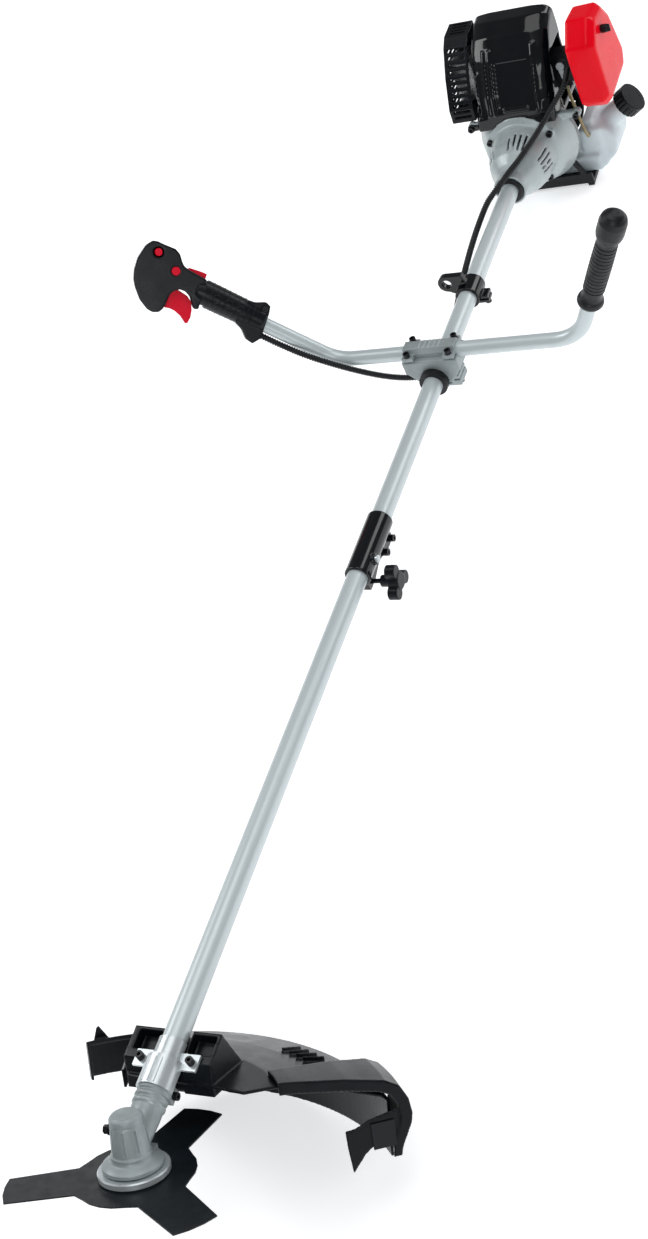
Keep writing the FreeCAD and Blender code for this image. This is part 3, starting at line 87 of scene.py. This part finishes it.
def material(name, col, rough=0.5, metal=0.0, var=0.10, vscale=18.0, rvar=0.12, rscale=60.0, grain=900.0, bump=0.12, dist=0.0002,
             coat=0.0, coat_rough=0.08, spec=0.5, sub=0.0, trans=0.0, fine=0.0, fine_scale=4000.0, tint=None, ior=1.5, alpha=1.0, stretch=None, scuff=0.0):
    """procedural surface: mottled colour, uneven gloss, moulded or cast grain in the bump"""
    mt = bpy.data.materials.new(name)
    mt.use_nodes = True
    t = mt.node_tree
    t.nodes.clear()
    out = _n(t, "ShaderNodeOutputMaterial", 900, 0)
    b = _n(t, "ShaderNodeBsdfPrincipled", 600, 0)
    t.links.new(b.outputs[0], out.inputs[0])
    b.inputs["Metallic"].default_value = metal
    b.inputs["Specular IOR Level"].default_value = spec
    b.inputs["Coat Weight"].default_value = coat
    b.inputs["Coat Roughness"].default_value = coat_rough
    b.inputs["IOR"].default_value = ior
    b.inputs["Alpha"].default_value = alpha
    if sub:
        b.inputs["Subsurface Weight"].default_value = sub
        b.inputs["Subsurface Radius"].default_value = (0.012, 0.012, 0.012)
        b.inputs["Subsurface Scale"].default_value = 0.5
    if trans:
        b.inputs["Transmission Weight"].default_value = trans
    tc = _n(t, "ShaderNodeTexCoord", -1100, 0)
    mp = _n(t, "ShaderNodeMapping", -930, 0)
    if stretch:
        mp.inputs["Rotation"].default_value = (0, radians(-TILT), 0)
        mp.inputs["Scale"].default_value = stretch
    t.links.new(tc.outputs["Object"], mp.inputs["Vector"])
    n1 = _n(t, "ShaderNodeTexNoise", -700, 250)
    n1.inputs["Scale"].default_value = vscale
    n1.inputs["Detail"].default_value = 5.0
    t.links.new(mp.outputs[0], n1.inputs["Vector"])
    ramp = _n(t, "ShaderNodeValToRGB", -450, 250)
    lo = [max(0.0, c * (1 - var)) for c in col]
    tc_ = tint or [min(1.0, c * (1 + var)) for c in col]
    ramp.color_ramp.elements[0].position = 0.3
    ramp.color_ramp.elements[1].position = 0.7
    ramp.color_ramp.elements[0].color = (*lo, 1)
    ramp.color_ramp.elements[1].color = (*tc_, 1)
    t.links.new(n1.outputs["Fac"], ramp.inputs["Fac"])
    colour = ramp.outputs["Color"]
    if scuff:
        ns = _n(t, "ShaderNodeTexNoise", -700, 520)
        ns.inputs["Scale"].default_value = 140.0
        ns.inputs["Detail"].default_value = 8.0
        ns.inputs["Roughness"].default_value = 0.75
        t.links.new(mp.outputs[0], ns.inputs["Vector"])
        rs = _n(t, "ShaderNodeValToRGB", -450, 520)
        rs.color_ramp.elements[0].position = 0.66
        rs.color_ramp.elements[1].position = 0.74
        rs.color_ramp.elements[0].color = (0, 0, 0, 1)
        rs.color_ramp.elements[1].color = (scuff, scuff, scuff, 1)
        t.links.new(ns.outputs["Fac"], rs.inputs["Fac"])
        mx = _n(t, "ShaderNodeMix", -150, 400, data_type="RGBA")
        t.links.new(rs.outputs["Color"], mx.inputs["Factor"])
        t.links.new(colour, mx.inputs[6])
        mx.inputs[7].default_value = (*[min(1.0, c * 1.6 + 0.05) for c in col], 1)
        colour = mx.outputs[2]
    t.links.new(colour, b.inputs["Base Color"])
    n2 = _n(t, "ShaderNodeTexNoise", -700, 0)
    n2.inputs["Scale"].default_value = rscale
    n2.inputs["Detail"].default_value = 6.0
    t.links.new(mp.outputs[0], n2.inputs["Vector"])
    mr = _n(t, "ShaderNodeMapRange", -450, 0)
    mr.inputs["From Min"].default_value = 0.3
    mr.inputs["From Max"].default_value = 0.7
    mr.inputs["To Min"].default_value = max(0.02, rough - rvar)
    mr.inputs["To Max"].default_value = min(1.0, rough + rvar)
    t.links.new(n2.outputs["Fac"], mr.inputs["Value"])
    t.links.new(mr.outputs[0], b.inputs["Roughness"])
    n3 = _n(t, "ShaderNodeTexNoise", -700, -250)
    n3.inputs["Scale"].default_value = grain
    n3.inputs["Detail"].default_value = 4.0
    t.links.new(mp.outputs[0], n3.inputs["Vector"])
    bp = _n(t, "ShaderNodeBump", -150, -250)
    bp.inputs["Strength"].default_value = bump
    bp.inputs["Distance"].default_value = dist
    t.links.new(n3.outputs["Fac"], bp.inputs["Height"])
    nrm = bp.outputs[0]
    if fine:
        n4 = _n(t, "ShaderNodeTexVoronoi", -700, -500)
        n4.inputs["Scale"].default_value = fine_scale
        t.links.new(mp.outputs[0], n4.inputs["Vector"])
        b2 = _n(t, "ShaderNodeBump", 50, -350)
        b2.inputs["Strength"].default_value = fine
        b2.inputs["Distance"].default_value = 0.00015
        t.links.new(n4.outputs["Distance"], b2.inputs["Height"])
        t.links.new(nrm, b2.inputs["Normal"])
        nrm = b2.outputs[0]
    t.links.new(nrm, b.inputs["Normal"])
    return mt


M = {
    "painted_aluminium": material("painted_aluminium", (0.60, 0.67, 0.69), 0.36, 0.25, var=0.04, vscale=9, rvar=0.03, rscale=60, grain=2200, bump=0.03,
                                  coat=0.2, coat_rough=0.2, stretch=(0.12, 1, 1)),
    "cast_aluminium": material("cast_aluminium", (0.34, 0.385, 0.395), 0.46, 0.30, var=0.12, vscale=40, rvar=0.12, rscale=150, grain=700, bump=0.30,
                               dist=0.0005, fine=0.15, fine_scale=1400, spec=0.5),
    "light_casting": material("light_casting", (0.42, 0.48, 0.49), 0.36, 0.20, var=0.09, vscale=30, rvar=0.10, rscale=120, grain=800, bump=0.20,
                              dist=0.0004, fine=0.10, fine_scale=1500, coat=0.15, coat_rough=0.25),
    "steel": material("steel", (0.55, 0.57, 0.58), 0.32, 1.0, var=0.08, vscale=60, grain=1500, bump=0.1, stretch=(1, 6, 6)),
    "zinc_steel": material("zinc_steel", (0.58, 0.63, 0.65), 0.30, 0.55, var=0.05, vscale=25, rvar=0.03, rscale=50, grain=180, bump=0.03, tint=(0.66, 0.71, 0.73)),
    "black_blade": material("black_blade", (0.004, 0.007, 0.010), 0.38, 0.0, var=0.3, vscale=30, rvar=0.10, rscale=90, grain=1300, bump=0.12,
                            spec=0.35, scuff=0.10),
    "black_screw": material("black_screw", (0.012, 0.012, 0.015), 0.33, 0.5, var=0.25, grain=1500, bump=0.15),
    "gloss_black": material("gloss_black", (0.0016, 0.0022, 0.0040), 0.16, 0.0, var=0.3, rvar=0.05, rscale=35, grain=350, bump=0.03, dist=0.0004,
                            coat=0.5, coat_rough=0.05, spec=0.20),
    "satin_black": material("satin_black", (0.0035, 0.0052, 0.0078), 0.30, 0.0, var=0.2, rvar=0.06, rscale=40, grain=700, bump=0.06, fine=0.08,
                            fine_scale=2600, spec=0.26),
    "rubber_black": material("rubber_black", (0.005, 0.006, 0.008), 0.42, 0.0, var=0.25, rvar=0.12, rscale=90, grain=1200, bump=0.2, fine=0.25, fine_scale=3200,
                             spec=0.36),
    "red_gloss": material("red_gloss", (0.88, 0.0005, 0.012), 0.24, 0.0, var=0.05, rvar=0.05, rscale=40, grain=500, bump=0.03, coat=0.12, coat_rough=0.06,
                          spec=0.08),
    "red_satin": material("red_satin", (0.78, 0.002, 0.025), 0.38, 0.0, var=0.10, rvar=0.08, rscale=90, grain=1200, bump=0.12, fine=0.15, fine_scale=2600,
                          spec=0.16),
    "white_tank": material("white_tank", (0.66, 0.76, 0.80), 0.34, 0.0, var=0.05, vscale=14, rvar=0.08, rscale=50, grain=400, bump=0.12, dist=0.0005,
                           sub=0.5, tint=(0.74, 0.83, 0.87), coat=0.1, coat_rough=0.3),
    "foam_grey": material("foam_grey", (0.10, 0.10, 0.10), 0.9, 0.0, var=0.4, vscale=300, grain=900, bump=0.9, dist=0.001, fine=0.8, fine_scale=900),
    "cast_iron_dark": material("cast_iron_dark", (0.10, 0.10, 0.11), 0.6, 0.7, var=0.2, vscale=60, grain=700, bump=0.4, dist=0.0005),
    "fuel_hose": material("fuel_hose", (0.30, 0.25, 0.12), 0.30, 0.0, var=0.12, vscale=60, grain=900, bump=0.08, sub=0.3, coat=0.3),
    "bronze": material("bronze", (0.45, 0.30, 0.14), 0.42, 1.0, var=0.15, vscale=90, grain=1500, bump=0.25),
}
SLOT = {s["node"]: s["material_slot"] for s in frame["record"]["subparts"]}


def paint(o, mt):
    o.data.materials.clear()
    o.data.materials.append(mt)


for name, o in N.items():
    paint(o, M[SLOT[name]])
# painted shade: the line cutter gets the black blade paint so it looks as dark as it does in the shadowed
# cavity under the guard
paint(N["line_cutter"], M["black_blade"])
paint(N["carburettor"], M["black_screw"])

# ---------------------------------------------------------------- floor, light
fl = material("floor_paper", (0.93, 0.93, 0.93), 0.85, 0.0, var=0.01, vscale=1.5, rvar=0.05, rscale=4, grain=120, bump=0.02, spec=0.2)
bm = bmesh.new()
bmesh.ops.create_grid(bm, x_segments=2, y_segments=2, size=9.0)
me = bpy.data.meshes.new("floor")
bm.to_mesh(me)
bm.free()
floor = bpy.data.objects.new("floor", me)
scene.collection.objects.link(floor)
floor.location = (0, 0, -0.0004)
for nd in fl.node_tree.nodes:
    if nd.type == "BSDF_PRINCIPLED":
        nd.inputs["Emission Color"].default_value = (0.97, 0.98, 1.0, 1)
        nd.inputs["Emission Strength"].default_value = 0.55
paint(floor, fl)

world = bpy.data.worlds.new("studio")
world.use_nodes = True
world.node_tree.nodes["Background"].inputs[0].default_value = (0.96, 0.98, 1.0, 1)
world.node_tree.nodes["Background"].inputs[1].default_value = 0.20
scene.world = world


def area(name, loc, target, size, power, col=(1, 1, 1), size_y=None):
    d = bpy.data.lights.new(name, "AREA")
    d.energy = power
    d.color = col
    d.size = size
    if size_y:
        d.shape = "RECTANGLE"
        d.size_y = size_y
    o = bpy.data.objects.new(name, d)
    scene.collection.objects.link(o)
    o.location = loc
    v = Vector(target) - Vector(loc)
    o.rotation_euler = v.to_track_quat("-Z", "Y").to_euler()
    return o


area("key_left", (0.3, 2.2, 2.2), (0, 0, 0.15), 1.0, 30, size_y=2.2)
area("fill_front", (-2.4, -1.2, 1.9), (0, 0, 0.15), 1.4, 20)
area("top_soft", (0.6, -0.6, 3.2), (0, 0, 0.1), 2.2, 30)
area("rim_back", (2.4, -1.6, 1.5), (0.6, 0, 0.2), 1.0, 18, size_y=1.8)
scene.view_settings.view_transform = "Standard"
scene.view_settings.look = "None"

# ---------------------------------------------------------------- detail pieces
BODY = {n: b for b, ns in frame["record"]["behaviour"]["bodies"].items() for n in ns}


def link(me, name):
    o = bpy.data.objects.new(name, me)
    scene.collection.objects.link(o)
    return o


def bm_of(node):
    bm = bmesh.new()
    bm.from_mesh(N[node].data)
    bmesh.ops.remove_doubles(bm, verts=bm.verts, dist=2e-6)
    return bm


def smooth_mesh(me, angle=None):
    for p in me.polygons:
        p.use_smooth = True
    if angle is not None:
        me.set_sharp_from_angle(angle=radians(angle))


def obj_from_bm(bm, name):
    me = bpy.data.meshes.new(name)
    bm.to_mesh(me)
    bm.free()
    return link(me, name)


def bake(o):
    dg = bpy.context.evaluated_depsgraph_get()
    me = bpy.data.meshes.new_from_object(o.evaluated_get(dg), depsgraph=dg)
    o.modifiers.clear()
    old = o.data
    o.data = me
    bpy.data.meshes.remove(old)
    return o


def slab(pts, vec, bm=None):
    """closed prism over a polygon of tube-frame points, pushed along vec"""
    bm = bm or bmesh.new()
    v0 = [bm.verts.new(P(*p)) for p in pts]
    v1 = [bm.verts.new(P(p[0] + vec[0], p[1] + vec[1], p[2] + vec[2])) for p in pts]
    n = len(pts)
    bm.faces.new(v0)
    bm.faces.new(v1[::-1])
    for i in range(n):
        bm.faces.new((v0[i], v1[i], v1[(i + 1) % n], v0[(i + 1) % n]))
    bmesh.ops.recalc_face_normals(bm, faces=bm.faces)
    return bm


def block(x0, x1, y0, y1, z0, z1, bm=None):
    return slab([(x0, y0, z0), (x1, y0, z0), (x1, y1, z0), (x0, y1, z0)], (0, 0, z1 - z0), bm)


def rod(p, d, r, h, seg=40, bm=None, r2=None):
    """cylinder or cone from tube-frame point p along d"""
    bm = bm or bmesh.new()
    d = Vector(d).normalized()
    a = d.orthogonal().normalized()
    b = d.cross(a)
    r2 = r if r2 is None else r2
    p = Vector(p)
    lo, hi = [], []
    for i in range(seg):
        t = 2 * pi * i / seg
        u = a * cos(t) + b * sin(t)
        lo.append(bm.verts.new(P(*(p + u * r))))
        hi.append(bm.verts.new(P(*(p + d * h + u * r2))))
    bm.faces.new(lo)
    bm.faces.new(hi[::-1])
    for i in range(seg):
        bm.faces.new((lo[i], hi[i], hi[(i + 1) % seg], lo[(i + 1) % seg]))
    bmesh.ops.recalc_face_normals(bm, faces=bm.faces)
    return bm


def soften(node, name, voxel, iters=3, cuts=(), adds=(), mt=None, factor=0.5, shape=None):
    """the node's own shape with moulded, rounded edges and extra relief"""
    o = obj_from_bm(bm_of(node), name)
    helpers = []
    for kind, things in (("UNION", adds), ("DIFFERENCE", cuts)):
        for i, b in enumerate(things):
            h = obj_from_bm(b, name + "_h%d" % i)
            helpers.append(h)
            md = o.modifiers.new("b", "BOOLEAN")
            md.object = h
            md.operation = kind
            md.solver = "EXACT"
    rm = o.modifiers.new("r", "REMESH")
    rm.mode = "VOXEL"
    rm.voxel_size = voxel
    sm = o.modifiers.new("s", "SMOOTH")
    sm.factor = factor
    sm.iterations = iters
    bake(o)
    for h in helpers:
        me = h.data
        bpy.data.objects.remove(h)
        bpy.data.meshes.remove(me)
    if shape:
        inv = ROT.transposed()
        for v in o.data.vertices:
            q = inv @ (v.co * 1000.0 - SHIFT)
            v.co = P(*shape(q))
        o.data.update()
    smooth_mesh(o.data)
    paint(o, mt or M[SLOT[node]])
    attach(o, BODY[node])
    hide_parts(node)
    return o


def piece(o, body, slot_name, mt=None, angle=40):
    smooth_mesh(o.data, angle)
    paint(o, mt or M[slot_name])
    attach(o, body)
    return o


# CAD nodes that stay: smooth on their curved faces
for name, o in N.items():
    smooth_mesh(o.data, 32)

# -------- throttle cable: corrugated conduit on one smooth line
CP = [(1646, -83, 97), (1632, -85, 96), (1616, -84, 90.5), (1603, -69, 75.5), (1589, -49, 54.5), (1575, -40, 46.5), (1560, -32, 41),
      (1542, -23, 36), (1524, -15, 32.5), (1505, -8, 31.5), (1487, -2, 29.5), (1470, 9, 23.5), (1455, 15.5, 20), (1420, 21.5, 11), (1375, 22.5, 5.5),
      (1330, 21, 0.5), (1296, 21.5, -7.5), (1262, 19.5, -13.0), (1218, 10.5, -19.5), (1182, 5.5, -24.5), (1157, 10.5, -27.0), (1140, 29, -24.0),
      (1128, 52, -15.5), (1117, 78, 0), (1108, 108, 21), (1102.5, 138, 42), (1100, 168, 62)]
lean = radians(-7.2)
UPV = Vector((sin(lean), 0, cos(lean)))
TA = (Vector((0, 0.690, 0)) + UPV * 0.724).normalized()
TN = Vector((-0.6824, -0.5683, 0.4597))
TN = (TN - TA * TN.dot(TA)).normalized()
TD = TN.cross(TA).normalized()
T0 = Vector((1122.0, 0, 32.0)) + Vector((0, 138.0, 0)) + TA * 111.6


def th(a, d, n=0.0):
    return T0 + TA * a + TD * d + TN * n


CP += [tuple(th(-34, 15.2)), tuple(th(-17, 15.2)), tuple(th(8, 15.2))]


def nurbs_line(points, res=14):
    c = bpy.data.curves.new("line", "CURVE")
    c.dimensions = "3D"
    c.resolution_u = res
    sp = c.splines.new("NURBS")
    sp.points.add(len(points) - 1)
    for q, p in zip(sp.points, points):
        q.co = (*P(*p), 1)
    sp.order_u = 3
    sp.use_endpoint_u = True
    ob = link(c, "line")
    me = bpy.data.meshes.new_from_object(ob)
    pts = [v.co.copy() for v in me.vertices]
    bpy.data.objects.remove(ob)
    bpy.data.curves.remove(c)
    bpy.data.meshes.remove(me)
    return pts


def resample(pts, step):
    out, acc = [pts[0]], 0.0
    for a, b in zip(pts, pts[1:]):
        L = (b - a).length
        while acc + L >= step:
            t = (step - acc) / L
            a = a.lerp(b, t)
            out.append(a)
            L = (b - a).length
            acc = 0.0
        acc += L
    return out


def tube_mesh(pts, radius, seg=14):
    """tube with a radius for each ring, parallel-transported"""
    bm = bmesh.new()
    t = (pts[1] - pts[0]).normalized()
    u = t.orthogonal().normalized()
    rings = []
    for i, p in enumerate(pts):
        t2 = (pts[min(i + 1, len(pts) - 1)] - pts[max(i - 1, 0)]).normalized()
        u = (u - t2 * u.dot(t2)).normalized()
        w = t2.cross(u)
        r = radius(i)
        rings.append([bm.verts.new(p + (u * cos(2 * pi * k / seg) + w * sin(2 * pi * k / seg)) * r) for k in range(seg)])
    for a, b in zip(rings, rings[1:]):
        for k in range(seg):
            bm.faces.new((a[k], a[(k + 1) % seg], b[(k + 1) % seg], b[k]))
    bm.faces.new(rings[0][::-1])
    bm.faces.new(rings[-1])
    return bm


line = resample(nurbs_line(CP), 0.0009)
con = obj_from_bm(tube_mesh(line, lambda i: (0.00455, 0.0045, 0.0035, 0.0035)[i % 4]), "cable_conduit")
piece(con, BODY["throttle_cable"], "rubber_black", angle=70)
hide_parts("throttle_cable")

# -------- moulded and cast shells
soften("fuel_tank", "tank_shell", 0.0022, 14, factor=0.6, adds=[block(1668, 1741, -92, -60, -88, -22), rod((1672, -80, -52), (1, 0, 0), 33, 66)])


def front_x(z):
    """station of the shroud's sloping front at height z"""
    pts = [(44, 1600), (66, 1602), (92, 1612), (134, 1640), (158, 1662), (171, 1684)]
    for (z0, x0), (z1, x1) in zip(pts, pts[1:]):
        if z <= z1:
            return x0 + (x1 - x0) * max(0.0, z - z0) / (z1 - z0)
    return 1684.0


def band(y0, y1, zs, lift, depth=4.0):
    """raised or sunk strip that follows the shroud's front"""
    outer = [(front_x(z) - lift, y0, z) for z in zs]
    inner = [(front_x(z) + depth, y0, z) for z in zs[::-1]]
    return slab(outer + inner, (0, y1 - y0, 0))


ZS = [66, 80, 92, 106, 120, 134, 146]
ZP = [74, 84, 92, 106, 120, 130]


def barrel(q):
    """the shroud's front turns back toward both sides"""
    w = min(1.0, max(0.0, (q.z - 62) / 14.0))
    t = max(0.0, abs(q.y + 1.75) - 26.0) / 34.0
    keep = 1.0 if q.x < 1700 else max(0.0, (1711 - q.x) / 11.0)
    if q.y < -40:
        # the wall stays where it is around the carburettor's opening
        side = min(1.0, max(0.0, (1650 - q.x) / 28.0))
        up = min(1.0, max(0.0, (q.z - 116) / 18.0))
        keep = min(keep, side + (1.0 - side) * up)
    x = q.x + 13.0 * t * t * w * keep
    z = q.z - 6.0 * t * t * max(0.0, min(1.0, (q.z - 140) / 25.0))
    return (x, q.y, z)


soften("engine_shroud", "shroud_shell", 0.0011, 16,
       cuts=[band(-34, 18, ZP, 3.0, 1.6)],
       adds=[band(-43.5, -39.0, ZS, 2.4), band(23.0, 27.5, ZS, 2.4), band(33.0, 36.5, ZS, 2.0), band(46.0, 49.0, ZS[:5], 1.8),
             band(-26, 12, [70.5, 86.5], 2.0, 3)],
       shape=barrel)
soften("air_filter_cover", "cover_shell", 0.0012, 45, factor=0.7)
soften("clutch_housing", "fan_case_shell", 0.0011, 3)


def blade(x, y, z):
    """blade frame (origin at the blade's centre, z along the spindle) to tube frame"""
    z -= 25.4
    c, n = cos(radians(34.0)), sin(radians(34.0))
    return (x * c + z * n, y, z * c - x * n)


def groove(ang, r0, r1, w, z0, z1, taper=0.0):
    """upright slot in the column's wall"""
    a = radians(ang)
    u, t = Vector((cos(a), sin(a))), Vector((-sin(a), cos(a)))
    q = [u * r0 - t * w, u * r1 - t * w, u * r1 + t * w, u * r0 + t * w]
    bm = bmesh.new()
    lo = [bm.verts.new(P(*blade(c.x, c.y, z0))) for c in q]
    hi = [bm.verts.new(P(*blade(c.x - u.x * taper, c.y - u.y * taper, z1))) for c in q]
    bm.faces.new(lo)
    bm.faces.new(hi[::-1])
    for i in range(4):
        bm.faces.new((lo[i], hi[i], hi[(i + 1) % 4], lo[(i + 1) % 4]))
    bmesh.ops.recalc_face_normals(bm, faces=bm.faces)
    return bm


soften("gear_head_housing", "gear_case_shell", 0.0006, 1,
       cuts=[groove(g, 17.9, 22, w, 28, 52, 1.9) for g, w in ((196, 0.9), (238, 0.9))],
       adds=[groove(g, 16, 19.4, 0.9, 27, 53, 1.9) for g in (199.5, 241.5, 150, 285)])
soften("muffler_guard", "muffler_guard_shell", 0.0008, 2)
soften("coupler_sleeve", "sleeve_shell", 0.0008, 3)
soften("handlebar_mount", "bar_clamp_shell", 0.0008, 4)
soften("handlebar_cap", "bar_cap_shell", 0.0007, 3)
soften("star_knob", "knob_shell", 0.0007, 5)
soften("fuel_cap", "fuel_cap_shell", 0.0006, 2)
soften("harness_eye", "eye_shell", 0.0008, 3)
soften("throttle_housing_front", "grip_shell_front", 0.0009, 14,
       cuts=[rod(th(165.9, -26.0, 4.5), TN, 6.5, 16), rod(th(135.5, -13.2, 4.5), TN, 4.7, 16)])
soften("throttle_housing_rear", "grip_shell_rear", 0.0009, 14)
soften("throttle_trigger", "trigger_shell", 0.0006, 4)
soften("trigger_lockout", "lockout_shell", 0.0006, 4)
soften("stop_switch", "stop_shell", 0.0004, 3)
soften("half_throttle_button", "button_shell", 0.0004, 3)
soften("plain_grip", "grip_shell_plain", 0.0010, 3)


def loop_tube(pts, r, name, body, slot_name, seg=8):
    """closed thin bead through tube-frame points"""
    w = [P(*p) for p in pts]
    bm = bmesh.new()
    n = len(w)
    rings = []
    c = sum(w, Vector()) / n
    for i, p in enumerate(w):
        t = (w[(i + 1) % n] - w[i - 1]).normalized()
        u = (p - c)
        u = (u - t * u.dot(t)).normalized()
        v = t.cross(u)
        rings.append([bm.verts.new(p + (u * cos(2 * pi * k / seg) + v * sin(2 * pi * k / seg)) * r) for k in range(seg)])
    for i in range(n):
        a, b = rings[i], rings[(i + 1) % n]
        for k in range(seg):
            bm.faces.new((a[k], a[(k + 1) % seg], b[(k + 1) % seg], b[k]))
    bmesh.ops.recalc_face_normals(bm, faces=bm.faces)
    o = obj_from_bm(bm, name)
    return piece(o, body, slot_name, angle=80)


for j, a0 in enumerate((38.0, 55.0, 72.0)):
    R = 17.55 + 0.012 * a0
    pts = []
    for k in range(28):
        f = 2 * pi * k / 28
        dd = 5.2 * sin(f)
        pts.append(tuple(th(a0 + 5.2 * cos(f), -3.2 + dd, sqrt(R * R - dd * dd))))
    loop_tube(pts, 0.0009, "grip_ring_%d" % j, "machine", "satin_black")
# fine knurled ridges around the throttle grip's back
for j in range(9):
    a0 = 20 + 7.6 * j
    R = 17.2 + 0.012 * a0
    pts = [tuple(th(a0, -3.2 + R * cos(radians(f)), R * sin(radians(f)))) for f in range(0, 360, 12)]
    loop_tube([p for p in pts], 0.0006, "grip_ridge_%d" % j, "machine", "satin_black")
LD = (Vector((0, -0.469, 0)) + UPV * 0.883).normalized()
VL = Vector((1122.0, -205.0, 32.0))
GA = LD.orthogonal().normalized()
GB = LD.cross(GA)
for j in range(14):
    a0 = 96 + 6.0 * j
    R = 13.15 + 0.55 * sin(pi * (a0 - 90) / 90.0)
    pts = [tuple(VL + LD * a0 + (GA * cos(radians(f)) + GB * sin(radians(f))) * R) for f in range(0, 360, 12)]
    loop_tube(pts, 0.0006, "plain_grip_ridge_%d" % j, "machine", "rubber_black")

soften("blade_guard", "guard_shell", 0.0010, 2)
soften("air_filter_knob", "filter_knob_shell", 0.0006, 3)
soften("engine_stand", "stand_shell", 0.0010, 2)
